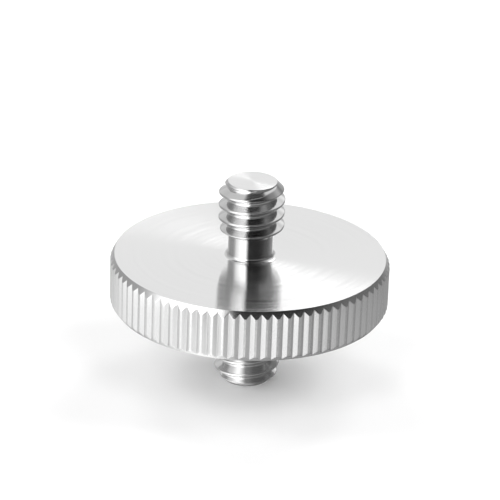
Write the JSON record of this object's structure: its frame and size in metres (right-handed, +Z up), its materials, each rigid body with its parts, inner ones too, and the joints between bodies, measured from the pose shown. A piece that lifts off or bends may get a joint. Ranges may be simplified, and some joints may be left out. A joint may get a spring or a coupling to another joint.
{
  "type": "tripod thread adapter",
  "caption": "Knurled steel disc with a threaded stud on each face, which joins two camera mounts that both have a threaded socket.",
  "frame": {"origin": "middle of the lower stud's end face, on which the adapter stands", "axes": "+Z up along the common axis of the disc and both studs, -Y towards the viewer of the picture, +X to the right"},
  "size_m": [0.0266, 0.0266, 0.0205],
  "materials": {
    "turned_steel": "bright turned stainless steel with fine rings on the faces and a straight knurl on the rim"
  },
  "bodies": {
    "root": {"thread_adapter": "turned_steel"}
  },
  "joints": []
}
